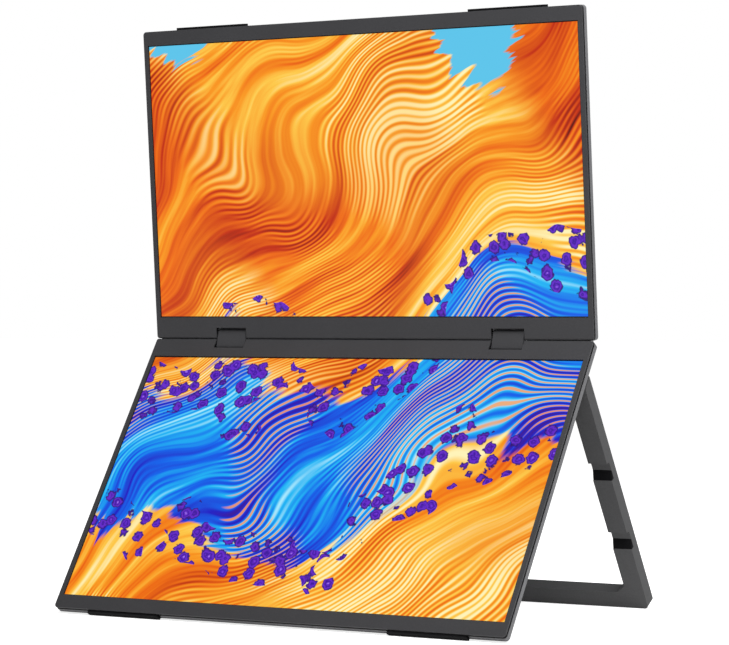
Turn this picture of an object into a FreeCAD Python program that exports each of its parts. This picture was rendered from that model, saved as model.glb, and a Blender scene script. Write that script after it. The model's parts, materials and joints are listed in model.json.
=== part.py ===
import FreeCAD, Part
import math
import os
from FreeCAD import Vector

# Two portable displays on a two-axle folding hinge, with a swing-out frame stand behind the lower one.
# Millimetres. X runs to the viewer's right, Y to the back and Z up. The origin is under the middle
# of the part, on the surface that it stands on.
# A display is drawn upright with its hinge edge on Z = 0 and its front face on Y = 0.
# The lower display is the same panel turned over, with its hinge edge at the top.

# Display panel, outside
panel_w = 352.6
panel_h = 220.6
panel_t = 8.0
corner_r = 2.5
bezel_t = 1.0
band_t = 2.0
band_inset = 0.35
rear_chamfer = 1.6
front_edge_r = 0.3
hinge_edge_r = 2.2
hinge_back_r = 3.4
hinge_wall = 2.2
side_wall = 1.4
back_wall = 1.0

# Picture and the layers behind it
side_border = 4.2
far_border = 10.7
picture_base = 16.3
picture_border = 0.7
glass_t = 1.1
glass_margin = 1.6
glass_driver_edge = 6.0
backlight_t = 1.5
backlight_driver_edge = 4.0
pan_margin = 6.0
pan_depth = 0.3
layer_gap = 0.2

# Pose of the panels at rest, as leans from upright, with the top to the back
lower_lean = 34.7
upper_lean = -3.4

# Two-axle friction hinge
hinge_x = 111.75
hinge_slot_w = 25.5
axle_setback = 5.0
axle_depth = 3.6
axle_r = 1.1
hinge_gap = 0.1
block_r = 2.0
block_side_gap = 0.9
block_end_gap = 1.2
block_wall = 0.45
block_end_wall = 1.2
running_gap = 0.05
clip_count = 4
clip_gap = 0.15
clip_slit = 0.5
slot_lip = 1.6
knuckle_r = 1.9
knuckle_len = 5.0
knuckle_gap = 0.2
leaf_t = 1.0
leaf_reach = 26.0
leaf_margin = 2.0
pocket_gap = 0.3
axle_hole_gap = 0.2

# Small screws
screw_r = 1.0
screw_head_r = 1.8
screw_head_t = 0.7
screw_bite = 0.4
boss_r = 2.6
leaf_screw_edge = 4.5
board_screw_edge = 4.5
pad_x = 88.0
pad_base = 73.5
pad_edge = 22.0

# Electronics
board_w = 56.0
board_h = 118.0
board_t = 1.0
board_edge = 2.6
board_base = 52.0
board_depth = 5.2
chip_w = 14.0
chip_t = 1.1
chip_base = 35.4
chip_pitch = 37.8
port_depth = 5.3
port_h = 3.2
port_len = 7.2
port_wall = 0.3
port_floor = 1.0
port_inset = 0.4
port_slot_gap = 0.15
data_w = 8.9
data_first = 66.0
data_pitch = 16.0
video_w = 11.2
video_taper = 1.2
video_place = 101.0
tongue_t = 0.7
tongue_setback = 1.0
timing_w = 150.0
timing_h = 11.0
timing_t = 0.8
timing_base = 28.0
ribbon_w = 14.0
ribbon_t = 0.2
ribbon_overlap = 5.0
ribbon_bite = 1.0
speaker_w = 34.0
speaker_h = 13.0
speaker_t = 2.8
speaker_x = 66.0
speaker_base = 44.0
cone_r = 4.2
cone_depth = 0.8
grille_slots = 9
grille_pitch = 3.0
grille_slot_w = 1.0
grille_slot_h = 7.0

# Buttons on the left edge
button_depth = 4.9
button_h = 2.1
button_gap = 0.15
button_sink = 0.05
button_travel = 0.4
flange_t = 0.7
flange_lip = 0.55
power_w = 8.0
power_place = 124.0
rocker_w = 16.0
rocker_place = 142.0
rocker_tilt = 2.5
trunnion_r = 0.45
trunnion_inset = 2.0
trunnion_bite = 0.25
switch_t = 2.2
switch_w = 3.4
switch_front = 1.2
switch_back = 1.4
plunger_r = 0.8
plunger_len = 0.5
stop_gap = 0.05

# Rubber strips on the far edges of both panels
foot_len = 60.0
foot_x = 119.0
foot_w = 5.6
foot_proud = 1.6
foot_sunk = 0.6
foot_end_r = 2.7
foot_flat = 0.5

# Swing-out stand
stand_open = 65.4
stand_pivot = 31.2
leg_t = 10.0
leg_w = 14.0
leg_gap = 0.4
heel_gap = 0.05
leg_edge = 0.6
leg_corner_r = 3.0
notch_first = 55.0
notch_pitch = 56.2
notch_len = 13.6
notch_depth = 3.4
notch_corner_r = 2.0
notch_flat = 7.2
notch_pad_sunk = 0.4
rail_h = 13.0
rail_t = 9.0
stub_len = 6.3
corner_ramp = 5.0
tenon_len = 5.0
tenon_t = 3.5
tenon_h = 7.0
strip_len = 55.0
strip_x = 127.5
strip_w = 5.0
strip_t = 1.5
strip_flat = 0.5
strip_setback = 1.25
pin_r = 2.0
pin_bite = 8.0
pin_head_r = 3.2
pin_head_t = 1.0
washer_t = 0.5
washer_r = 3.6
washer_gap = 0.05
ear_t = 3.0
ear_r = 4.4
flange_w = 13.0
bracket_h = 18.0
bracket_t = 1.6

# How far a cut reaches beyond what it cuts, and a length too small to matter
over = 1.0
sliver = 1e-4

# Values worked out from the sizes above
half_w = panel_w / 2
shell_front = bezel_t + band_t
shell_inner = panel_t - back_wall
slot_h = axle_setback + block_r + block_end_gap
picture_w = panel_w - 2 * side_border
picture_top = panel_h - far_border
glass_back = bezel_t + glass_t
backlight_back = glass_back + backlight_t
glass_half_w = picture_w / 2 + glass_margin
slot_half_w = hinge_slot_w / 2
block_half_w = slot_half_w - block_side_gap
knuckle_in = slot_half_w + back_wall + knuckle_gap
knuckle_out = knuckle_in + knuckle_len
leaf_back = axle_depth + knuckle_r
leaf_depth = leaf_back - leaf_t
leaf_base = slot_h + back_wall + knuckle_gap
leaf_half_w = knuckle_out + leaf_margin
front_swing = math.hypot(axle_setback - hinge_edge_r, axle_depth - hinge_edge_r) + hinge_edge_r
back_reach = panel_t - axle_depth
back_swing = math.hypot(axle_setback - hinge_back_r, back_reach - hinge_back_r) + hinge_back_r
axle_pitch = 2 * max(front_swing, back_swing) + hinge_gap
lower_turn = math.radians(lower_lean)
upper_turn = math.radians(upper_lean)
block_turn = (lower_turn + upper_turn) / 2
stand_turn = lower_turn - math.radians(stand_open)
pivot_depth = panel_t + leg_gap + leg_t / 2
heel_reach = leg_gap + leg_t / 2 - heel_gap
leg_in = half_w - leg_w
washer_space = washer_t + 2 * washer_gap
ear_out = leg_in - washer_space
ear_in = ear_out - ear_t
button_face = -half_w + button_sink
flange_face = -half_w + side_wall + stop_gap
flange_end = flange_face + flange_t
switch_face = flange_end + button_travel + stop_gap
trunnion_x = -half_w + trunnion_inset
rocker_sweep = rocker_w / 2 * math.sin(math.radians(rocker_tilt))
reach = panel_w

x_axis = Vector(1, 0, 0)
y_axis = Vector(0, 1, 0)


def box(x0, x1, y0, y1, z0, z1):
    """A block between two corners."""
    return Part.makeBox(x1 - x0, y1 - y0, z1 - z0, Vector(x0, y0, z0))


def plate(x0, x1, z0, z1, y0, y1, r):
    """A plate of thickness y0 to y1 whose outline in X and Z has round corners."""
    s = r * (1 - math.sqrt(0.5))
    runs = [
        ((x0 + r, z0), (x1 - r, z0), (x1 - s, z0 + s), (x1, z0 + r)),
        ((x1, z0 + r), (x1, z1 - r), (x1 - s, z1 - s), (x1 - r, z1)),
        ((x1 - r, z1), (x0 + r, z1), (x0 + s, z1 - s), (x0, z1 - r)),
        ((x0, z1 - r), (x0, z0 + r), (x0 + s, z0 + s), (x0 + r, z0)),
    ]
    edges = []
    for start, end, middle, after in runs:
        a, b, m, c = [Vector(x, y0, z) for x, z in (start, end, middle, after)]
        if a.distanceToPoint(b) > sliver:
            edges.append(Part.makeLine(a, b))
        edges.append(Part.Arc(b, m, c).toShape())
    face = Part.Face(Part.Wire(edges))
    return face.extrude(Vector(0, y1 - y0, 0))


def bar(points, x0, x1):
    """A straight-sided profile of (y, z) points, carried along X."""
    wire = Part.makePolygon([Vector(x0, y, z) for y, z in points + points[:1]])
    return Part.Face(wire).extrude(Vector(x1 - x0, 0, 0))


def rod(x0, x1, y, z, r):
    """A round bar along X."""
    return Part.makeCylinder(r, x1 - x0, Vector(x0, y, z), x_axis)


def post(x, z, y0, y1, r):
    """A round bar along Y."""
    return Part.makeCylinder(r, y1 - y0, Vector(x, y0, z), y_axis)


def stadium_x(x0, x1, y, z, half_len, r):
    """A bar along X with round ends at the top and bottom, half_len from its middle to each centre."""
    middle = box(x0, x1, y - r, y + r, z - half_len, z + half_len)
    ends = [rod(x0, x1, y, z - half_len, r), rod(x0, x1, y, z + half_len, r)]
    return middle.multiFuse(ends).removeSplitter()


def pill_x(x0, x1, y, z, height, width):
    """A pill-shaped bar along X, height across Y and width along Z."""
    return stadium_x(x0, x1, y, z, (width - height) / 2, height / 2)


def group(shapes):
    """Separate solids that share one node."""
    return Part.makeCompound(shapes)


def both_hinges(build):
    """The same piece at the left and at the right hinge."""
    return [build(-hinge_x), build(hinge_x)]


# Display panel

def panel_envelope():
    """The outside of a closed panel, with its bevelled back and rounded hinge edge."""
    body = plate(-half_w, half_w, 0, panel_h, 0, panel_t, corner_r)
    back = [e for e in body.Edges if e.BoundBox.YMin > panel_t - sliver]
    body = body.makeChamfer(rear_chamfer, back)
    front = [e for e in body.Edges if e.BoundBox.YMax < sliver]
    body = body.makeFillet(front_edge_r, front)
    front_r = hinge_edge_r
    back_r = hinge_back_r
    front_in = front_r * (1 - math.sqrt(0.5))
    back_in = back_r * (1 - math.sqrt(0.5))
    outline = [
        (front_r, 0), (panel_t - back_r, 0), (panel_t - back_in, back_in), (panel_t, back_r),
        (panel_t, panel_h), (0, panel_h), (0, front_r), (front_in, front_in),
    ]
    a, b, b_middle, c, d, e, f, f_middle = [Vector(-reach, y, z) for y, z in outline]
    edges = [Part.makeLine(p, q) for p, q in ((a, b), (c, d), (d, e), (e, f))]
    edges.insert(1, Part.Arc(b, b_middle, c).toShape())
    edges.append(Part.Arc(f, f_middle, a).toShape())
    section = Part.Face(Part.Wire(edges)).extrude(Vector(2 * reach, 0, 0))
    return body.common(section)


def hinge_slots():
    """The two notches in the hinge edge that the hinge blocks turn in, with a lip left behind their end."""
    cuts = []
    for x in (-hinge_x, hinge_x):
        a = x - slot_half_w
        b = x + slot_half_w
        cuts.append(box(a, b, -over, shell_inner, -over, slot_h))
        cuts.append(box(a, b, -over, panel_t + over, -over, slot_h - slot_lip))
    return cuts


def knuckle_pockets():
    """Room for the leaf knuckles on both sides of each notch, and the holes that the axles pass through."""
    cuts = []
    for x in (-hinge_x, hinge_x):
        for side in (-1, 1):
            a = x + side * (slot_half_w + back_wall)
            b = x + side * (knuckle_out + pocket_gap)
            cuts.append(rod(min(a, b), max(a, b), axle_depth, axle_setback, knuckle_r + pocket_gap))
        end = slot_half_w + back_wall
        cuts.append(rod(x - end, x + end, axle_depth, axle_setback, axle_r + axle_hole_gap))
    return cuts


def front_bezel():
    """The flat front plate with the window for the picture."""
    slab = box(-reach, reach, -over, bezel_t, -over, panel_h + over)
    window = box(
        -picture_w / 2 - picture_border, picture_w / 2 + picture_border, -over, bezel_t + over,
        picture_base - picture_border, picture_top + picture_border,
    )
    return panel_envelope().common(slab).cut([window] + hinge_slots())


def mid_frame():
    """The dark frame between the front plate and the back shell, set in a little all round."""
    ring = plate(
        -half_w + band_inset, half_w - band_inset, band_inset, panel_h - band_inset,
        bezel_t, shell_front, corner_r - band_inset,
    )
    opening = box(
        -glass_half_w - layer_gap, glass_half_w + layer_gap, 0, panel_t,
        picture_base - glass_driver_edge - layer_gap, picture_top + glass_margin + layer_gap,
    )
    trunnion = post(
        trunnion_x, rocker_place, shell_front - trunnion_bite - running_gap, shell_front + over,
        trunnion_r + running_gap,
    )
    return ring.cut([opening, trunnion] + hinge_slots() + knuckle_pockets() + far_foot_seats())


def lcd_glass():
    """The display glass, seated against the back of the front plate."""
    return box(
        -glass_half_w, glass_half_w, bezel_t, glass_back,
        picture_base - glass_driver_edge, picture_top + glass_margin,
    )


def backlight_unit():
    """The light guide in its folded tray, with a shallow pan pressed into its back."""
    tray = box(
        -glass_half_w, glass_half_w, glass_back, backlight_back,
        picture_base - backlight_driver_edge, picture_top + glass_margin,
    )
    pan = plate(
        -glass_half_w + pan_margin, glass_half_w - pan_margin,
        timing_base + timing_h + pan_margin, picture_top - pan_margin,
        backlight_back - pan_depth, panel_t, corner_r,
    )
    return tray.cut(pan)


def port_places():
    """Each socket as its width and its place along the left edge."""
    return [(data_w, data_first), (data_w, data_first + data_pitch), (video_w, video_place)]


def leaf_screw_places():
    """Where the leaf screws go, as offsets from the hinge's middle and heights."""
    offset = leaf_half_w - leaf_screw_edge
    heights = (leaf_base + leaf_screw_edge, leaf_reach - leaf_screw_edge)
    return [(side * offset, z) for side in (-1, 1) for z in heights]


def board_screw_places():
    """Where the board stands on the shell."""
    x = -half_w + board_edge + board_w - board_screw_edge
    return [(x, board_base + board_screw_edge), (x, board_base + board_h - board_screw_edge)]


def far_foot_seats():
    """The shallow seats for the rubber strips in the far edge."""
    return [foot_blank(x, foot_w, foot_sunk, 0) for x in (-foot_x, foot_x)]


def back_shell():
    """The moulded back: walls, notches, bosses, sockets and speaker slots."""
    slab = box(-reach, reach, shell_front, panel_t + over, -over, panel_h + over)
    shell = panel_envelope().common(slab)
    cavity = box(
        -half_w + side_wall, half_w - side_wall, shell_front - over, shell_inner,
        hinge_wall, panel_h - side_wall - foot_sunk,
    )
    cheek = slot_half_w + back_wall
    keep = [box(x - cheek, x + cheek, 0, panel_t, 0, slot_h + back_wall) for x in (-hinge_x, hinge_x)]
    for x in (-hinge_x, hinge_x):
        keep += [post(x + dx, z, leaf_back, panel_t, boss_r) for dx, z in leaf_screw_places()]
    keep += [post(x, z, board_depth + board_t, panel_t, boss_r) for x, z in board_screw_places()]
    keep += [
        post(x, z, backlight_back, panel_t, boss_r)
        for x in (-pad_x, 0, pad_x) for z in (pad_base, panel_h - pad_edge)
    ]
    shell = shell.cut(cavity.cut(keep))
    cuts = hinge_slots() + knuckle_pockets() + far_foot_seats()
    for width, place in port_places()[:2]:
        cuts.append(port_hole(width, place))
    cuts.append(video_block(
        -half_w - over, -half_w + side_wall + over, video_w + 2 * port_slot_gap, port_h + 2 * port_slot_gap,
    ))
    for width, place in ((power_w, power_place), (rocker_w, rocker_place)):
        cuts.append(pill_x(
            -half_w - over, -half_w + side_wall + over, button_depth, place,
            button_h + 2 * button_gap, width + 2 * button_gap,
        ))
    cuts.append(post(
        trunnion_x, rocker_place, shell_inner - over, shell_inner + trunnion_bite + running_gap,
        trunnion_r + running_gap,
    ))
    for side in (-1, 1):
        for i in range(grille_slots):
            x = side * speaker_x + (i - (grille_slots - 1) / 2) * grille_pitch
            z = speaker_base + speaker_h / 2
            cuts.append(box(
                x - grille_slot_w / 2, x + grille_slot_w / 2, shell_inner - over, panel_t + over,
                z - grille_slot_h / 2, z + grille_slot_h / 2,
            ))
    for x in (-hinge_x, hinge_x):
        for dx, z in leaf_screw_places():
            cuts.append(post(x + dx, z, leaf_depth, leaf_back + screw_bite + back_wall, screw_r))
    return shell.cut(cuts)


# Electronics inside a panel

def port_hole(width, place):
    """The hole in the side wall for a rounded socket."""
    return pill_x(
        -half_w - over, -half_w + side_wall + over, port_depth, place,
        port_h + 2 * port_slot_gap, width + 2 * port_slot_gap,
    )


def data_socket(place):
    """A rounded metal socket with its tongue."""
    x0 = -half_w + port_inset
    x1 = x0 + port_len
    shell = pill_x(x0, x1, port_depth, place, port_h, data_w)
    mouth = pill_x(
        x0 - over, x1 - port_floor, port_depth, place, port_h - 2 * port_wall, data_w - 2 * port_wall,
    )
    tongue_w = data_w - port_h + port_wall
    tongue = box(
        x0 + tongue_setback, x1 - port_floor / 2, port_depth - tongue_t / 2, port_depth + tongue_t / 2,
        place - tongue_w / 2, place + tongue_w / 2,
    )
    return shell.cut(mouth).fuse(tongue)


def video_block(x0, x1, width, height):
    """A bar along X with the flat-topped, bevelled outline of a small video socket."""
    y0 = port_depth - height / 2
    y1 = port_depth + height / 2
    z0 = video_place - width / 2
    z1 = video_place + width / 2
    middle = port_depth
    points = [(y0, z0), (y0, z1), (middle, z1), (y1, z1 - video_taper), (y1, z0 + video_taper), (middle, z0)]
    return bar(points, x0, x1)


def video_socket():
    """The small video socket with its tongue."""
    x0 = -half_w + port_inset
    x1 = x0 + port_len
    shell = video_block(x0, x1, video_w, port_h)
    mouth = video_block(x0 - over, x1 - port_floor, video_w - 2 * port_wall, port_h - 2 * port_wall)
    tongue_w = video_w - 2 * video_taper
    tongue = box(
        x0 + tongue_setback, x1 - port_floor / 2, port_depth - tongue_t / 2, port_depth + tongue_t / 2,
        video_place - tongue_w / 2, video_place + tongue_w / 2,
    )
    return shell.cut(mouth).fuse(tongue)


def controller_board():
    """The driver board, notched for its sockets and switches, with its main chips."""
    x0 = -half_w + board_edge
    x1 = x0 + board_w
    y0 = board_depth
    y1 = board_depth + board_t
    board = plate(x0, x1, board_base, board_base + board_h, y0, y1, corner_r)
    notch_end = -half_w + port_inset + port_len + port_slot_gap
    cuts = []
    for width, place in port_places():
        half = width / 2 + port_slot_gap
        cuts.append(box(x0 - over, notch_end, y0 - over, y1 + over, place - half, place + half))
    switch_end = switch_face + plunger_len + switch_t
    for place in switch_places():
        half = switch_w / 2 + port_slot_gap
        cuts.append(box(x0 - over, switch_end, y0 - over, y1 + over, place - half, place + half))
    half = rocker_w / 2 + flange_lip + port_slot_gap
    rocker_end = switch_face + plunger_len
    cuts.append(box(x0 - over, rocker_end, y0 - over, y1 + over, rocker_place - half, rocker_place + half))
    x = (x0 + x1) / 2
    chips = [
        box(x - chip_w / 2, x + chip_w / 2, y0 - chip_t, y0, z - chip_w / 2, z + chip_w / 2)
        for z in (board_base + chip_base, board_base + chip_base + chip_pitch)
    ]
    return board.cut(cuts).multiFuse(chips)


def switch_places():
    """Places along the left edge of the three tact switches."""
    arm = rocker_w / 2 - switch_w / 2
    return [power_place, rocker_place - arm, rocker_place + arm]


def tact_switches():
    """Small push switches, each with its round plunger towards its button."""
    switches = []
    for place in switch_places():
        body_x = switch_face + plunger_len
        body = box(
            body_x, body_x + switch_t, button_depth - switch_front, button_depth + switch_back,
            place - switch_w / 2, place + switch_w / 2,
        )
        plunger = rod(switch_face, body_x, button_depth, place, plunger_r)
        switches.append(body.fuse(plunger))
    return group(switches)


def timing_board():
    """The narrow row driver board on the back of the backlight."""
    return box(
        -timing_w / 2, timing_w / 2, backlight_back, backlight_back + timing_t,
        timing_base, timing_base + timing_h,
    )


def ribbon_cable():
    """The flat cable from the driver board to the row driver board, stepped over the edge of both."""
    top = board_base + ribbon_overlap
    bottom = timing_base + timing_h - ribbon_overlap
    y_top = board_depth - ribbon_t
    y_bottom = backlight_back + timing_t
    bend_top = board_base - ribbon_overlap / 2
    bend_bottom = timing_base + timing_h + ribbon_overlap / 2
    x1 = -half_w + board_edge + board_w
    x0 = x1 - ribbon_w
    drop = bar([
        (y_top, top), (y_top, bend_top), (y_bottom, bend_bottom), (y_bottom, bottom),
        (y_bottom + ribbon_t, bottom), (y_bottom + ribbon_t, bend_bottom),
        (y_top + ribbon_t, bend_top), (y_top + ribbon_t, top),
    ], x0, x1)
    tail = box(
        x1 - ribbon_bite, -timing_w / 2 + ribbon_w, y_bottom, y_bottom + ribbon_t,
        bottom, timing_base + timing_h - ribbon_bite,
    )
    return drop.fuse(tail).removeSplitter()


def speakers():
    """Two flat speaker boxes with a dished cone facing the slots."""
    boxes = []
    for side in (-1, 1):
        x = side * speaker_x
        body = plate(
            x - speaker_w / 2, x + speaker_w / 2, speaker_base, speaker_base + speaker_h,
            shell_inner - speaker_t, shell_inner, corner_r,
        )
        z = speaker_base + speaker_h / 2
        dish = Part.makeCone(cone_r / 2, cone_r, cone_depth, Vector(x, shell_inner - cone_depth, z), y_axis)
        boxes.append(body.cut(dish))
    return group(boxes)


# Hinge parts carried by a panel

def hinge_leaf(x):
    """A steel leaf that straddles the notch and grips the axle in a knuckle on each side."""
    web = plate(x - leaf_half_w, x + leaf_half_w, leaf_base, leaf_reach, leaf_depth, leaf_back, corner_r)
    parts = []
    for side in (-1, 1):
        a, b = sorted((x + side * knuckle_in, x + side * knuckle_out))
        parts.append(box(a, b, leaf_depth, leaf_back, axle_setback, leaf_base + corner_r))
        parts.append(rod(a, b, axle_depth, axle_setback, knuckle_r))
    holes = [rod(x - leaf_half_w, x + leaf_half_w, axle_depth, axle_setback, axle_r)]
    for dx, z in leaf_screw_places():
        holes.append(post(x + dx, z, leaf_depth - over, leaf_back + over, screw_r + running_gap))
    return web.multiFuse(parts).removeSplitter().cut(holes)


def hinge_axle(x):
    """The steel axle that joins a panel to its hinge block."""
    return rod(x - knuckle_out, x + knuckle_out, axle_depth, axle_setback, axle_r)


def leaf_screws():
    """The screws that hold the leaves to the bosses of the back shell."""
    screws = []
    for x in (-hinge_x, hinge_x):
        for dx, z in leaf_screw_places():
            shank = post(x + dx, z, leaf_depth, leaf_back + screw_bite + back_wall, screw_r)
            head = post(x + dx, z, leaf_depth - screw_head_t, leaf_depth, screw_head_r)
            screws.append(head.fuse(shank).removeSplitter())
    return group(screws)


def power_button():
    """A pill-shaped button with an inner flange that keeps it in its hole."""
    cap = pill_x(button_face, flange_end, button_depth, power_place, button_h, power_w)
    flange = pill_x(
        flange_face, flange_end, button_depth, power_place,
        button_h + 2 * flange_lip, power_w + 2 * flange_lip,
    )
    return cap.fuse(flange).removeSplitter()


def menu_rocker():
    """A rocking bar on a short trunnion between the frame and the back shell."""
    cap = pill_x(button_face + rocker_sweep / 2, flange_end, button_depth, rocker_place, button_h, rocker_w)
    trunnion = post(
        trunnion_x, rocker_place, shell_front - trunnion_bite, shell_inner + trunnion_bite, trunnion_r,
    )
    return cap.fuse(trunnion)


def foot_blank(x, width, below, above):
    """A flat strip with round ends across the far edge, from below it to above it."""
    y = panel_t / 2
    z0 = panel_h - below
    r = min(foot_end_r, width / 2 - sliver)
    y0 = y - width / 2
    y1 = y + width / 2
    half = foot_len / 2
    middle = box(x - half + r, x + half - r, y0, y1, z0, panel_h + above)
    ends = [
        Part.makeCylinder(r, below + above, Vector(x + side * (half - r), y, z0)) for side in (-1, 1)
    ]
    return middle.multiFuse(ends)


def edge_foot(x):
    """A soft strip pressed into the far edge, standing a little proud of it."""
    return foot_blank(x, foot_w, foot_sunk, foot_proud).removeSplitter()


# Hinge blocks, drawn upright about their middle

def block_cover(x, front):
    """Half of a hinge block's cover, split through both axle bores."""
    half = axle_pitch / 2
    solid = stadium_x(x - block_half_w, x + block_half_w, 0, 0, half, block_r)
    room = stadium_x(
        x - block_half_w + block_end_wall, x + block_half_w - block_end_wall, 0, 0,
        half, block_r - block_wall,
    )
    bores = [rod(x - reach, x + reach, 0, z, axle_r + running_gap) for z in (-half, half)]
    near, far = (-reach, 0) if front else (0, reach)
    side = box(x - reach, x + reach, near, far, -reach, reach)
    return solid.cut([room] + bores).common(side)


def friction_clips(x):
    """Steel friction clips: figure-of-eight plates, slit at each bore so that they grip both axles."""
    half = axle_pitch / 2
    room = 2 * (block_half_w - block_end_wall)
    step = room / clip_count
    clips = []
    for i in range(clip_count):
        x0 = x - room / 2 + i * step + clip_gap / 2
        x1 = x0 + step - clip_gap
        body = stadium_x(x0, x1, 0, 0, half, block_r - block_wall - running_gap)
        cuts = [rod(x0 - over, x1 + over, 0, z, axle_r + running_gap) for z in (-half, half)]
        inner = half - axle_r - block_wall
        cuts.append(box(x0 - over, x1 + over, -clip_slit / 2, clip_slit / 2, inner, half))
        cuts.append(box(x0 - over, x1 + over, -clip_slit / 2, clip_slit / 2, -half, -inner))
        clips.append(body.cut(cuts))
    return group(clips)


# Stand, drawn folded with its pivot on the X axis and its legs hanging down

def notch_span(i):
    """Where a notch starts and ends along a leg, as heights below the pivot."""
    high = -(notch_first + i * notch_pitch)
    return high - notch_len, high


def side_line(points):
    """Lines in the side view through (y, z) points."""
    corners = [Vector(0, y, z) for y, z in points]
    return [Part.makeLine(a, b) for a, b in zip(corners, corners[1:])]


def side_arc(start, middle, end):
    """An arc in the side view through three (y, z) points."""
    a, b, c = [Vector(0, y, z) for y, z in (start, middle, end)]
    return Part.Arc(a, b, c).toShape()


def leg_section(length):
    """The side view of a leg: round inner heel, slanted heel face, straight legs and two notches."""
    front = -leg_t / 2
    rear = leg_t / 2
    slant = math.radians(stand_open)
    nose = math.asin(min(1, -front / heel_reach))
    touch = (-heel_reach * math.cos(slant), heel_reach * math.sin(slant))
    start = (front, heel_reach * math.cos(nose))
    turn = (math.atan2(touch[1], touch[0]) + math.atan2(start[1], start[0])) / 2
    middle = (heel_reach * math.cos(turn), heel_reach * math.sin(turn))
    top = (rear, (heel_reach + rear * math.cos(slant)) / math.sin(slant))
    edges = [side_arc(start, middle, touch)]
    edges += side_line([touch, top, (rear, -length), (front, -length)])
    last = (front, -length)
    inner = front + notch_depth
    bow = notch_corner_r * (1 - math.sqrt(0.5))
    for i in (1, 0):
        low, high = notch_span(i)
        edges += side_line([last, (front, low), (inner, low), (inner, high - notch_corner_r)])
        last = (inner - notch_corner_r, high)
        edges.append(side_arc((inner, high - notch_corner_r), (inner - bow, high - bow), last))
        edges += side_line([last, (front, high)])
        last = (front, high)
    edges += side_line([last, start])
    return Part.Face(Part.Wire(edges))


def stand_leg(side, length):
    """One leg with the stub and ramp that carry the rail, and the blind hole for its pivot pin."""
    leg = leg_section(length).extrude(Vector(leg_w, 0, 0))
    rear = [e for e in leg.Edges if e.BoundBox.YMin > leg_t / 2 - sliver and e.BoundBox.ZLength > leg_t]
    leg = leg.makeChamfer(leg_edge, rear)
    corner = [e for e in leg.Edges if e.BoundBox.XMin > leg_w - sliver and e.BoundBox.ZMax < -length + sliver]
    leg = leg.makeFillet(leg_corner_r, corner)
    leg.translate(Vector(leg_in, 0, 0))
    y0 = -leg_t / 2
    y1 = y0 + rail_t
    inner = leg_in - stub_len
    stub = box(inner, leg_in, y0, y1, -length, -length + rail_h)
    shelf = -length + rail_h
    ramp_points = [(leg_in, shelf), (inner, shelf), (leg_in, shelf + corner_ramp), (leg_in, shelf)]
    wire = Part.makePolygon([Vector(x, y0, z) for x, z in ramp_points])
    ramp = Part.Face(wire).extrude(Vector(0, rail_t, 0))
    hole = rod(leg_in - over, leg_in + pin_bite, 0, 0, pin_r)
    leg = leg.multiFuse([stub, ramp]).removeSplitter().cut([hole, tenon(length)])
    return leg if side > 0 else leg.mirror(Vector(0, 0, 0), x_axis)


def notch_pad(i):
    """The soft black wedge in the lower half of a notch, on its back and its floor."""
    front = -leg_t / 2
    inner = front + notch_depth
    low, high = notch_span(i)
    return bar([(inner, high - notch_flat), (front + notch_pad_sunk, low), (inner, low)], leg_in, half_w)


def tenon(length):
    """The tongue at the rail's right end."""
    y = -leg_t / 2 + rail_t / 2
    z = -length + rail_h / 2
    x0 = leg_in - stub_len
    return box(x0 - over, x0 + tenon_len, y - tenon_t / 2, y + tenon_t / 2, z - tenon_h / 2, z + tenon_h / 2)


def stand_rail(length):
    """The cross rail between the stubs, with a tongue at each end."""
    x1 = leg_in - stub_len
    y0 = -leg_t / 2
    rail = box(-x1, x1, y0, y0 + rail_t, -length, -length + rail_h)
    right = tenon(length)
    return rail.multiFuse([right, right.mirror(Vector(0, 0, 0), x_axis)]).removeSplitter()


def rail_strip(x, length):
    """A soft strip under the rail."""
    y0 = -leg_t / 2 + strip_setback
    r = strip_w / 2 - sliver
    half = strip_len / 2
    z0 = -length - strip_t
    middle = box(x - half + r, x + half - r, y0, y0 + strip_w, z0, -length)
    ends = [
        Part.makeCylinder(r, strip_t, Vector(x + side * (half - r), y0 + strip_w / 2, z0)) for side in (-1, 1)
    ]
    return middle.multiFuse(ends).removeSplitter()


def pivot_pin(side):
    """A headed pin, fixed in the leg and free in the bracket's ear."""
    head_end = ear_in - washer_gap
    shank = rod(head_end, leg_in + pin_bite, 0, 0, pin_r)
    head = rod(head_end - pin_head_t, head_end, 0, 0, pin_head_r)
    pin = shank.fuse(head).removeSplitter()
    return pin if side > 0 else pin.mirror(Vector(0, 0, 0), x_axis)


def pivot_washer(side):
    """The flat washer between ear and leg."""
    x0 = ear_out + washer_gap
    bore = rod(x0 - over, x0 + washer_t + over, 0, 0, pin_r + running_gap)
    ring = rod(x0, x0 + washer_t, 0, 0, washer_r).cut(bore)
    return ring if side > 0 else ring.mirror(Vector(0, 0, 0), x_axis)


# Pivot brackets, drawn with the panel

def bracket_screw_places():
    """Where the bracket screws go on the right, in X and Z."""
    x = ear_in - flange_w / 2
    return [(x, stand_pivot - bracket_h / 4), (x, stand_pivot + bracket_h / 4)]


def stand_bracket(side):
    """A screwed-on bracket with an upright ear for the stand's pivot pin."""
    low = stand_pivot - bracket_h / 2
    foot = box(ear_in - flange_w, ear_out, panel_t, panel_t + bracket_t, low, low + bracket_h)
    web = box(ear_in, ear_out, panel_t, pivot_depth, stand_pivot - ear_r, stand_pivot + ear_r)
    eye = rod(ear_in, ear_out, pivot_depth, stand_pivot, ear_r)
    holes = [rod(ear_in - over, ear_out + over, pivot_depth, stand_pivot, pin_r + running_gap)]
    top = panel_t + bracket_t
    for x, z in bracket_screw_places():
        holes.append(post(x, z, panel_t - over, top + over, screw_r + running_gap))
        holes.append(post(x, z, top - screw_head_t, top + over, screw_head_r + running_gap))
    bracket = foot.multiFuse([web, eye]).removeSplitter().cut(holes)
    return bracket if side > 0 else bracket.mirror(Vector(0, 0, 0), x_axis)


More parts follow.
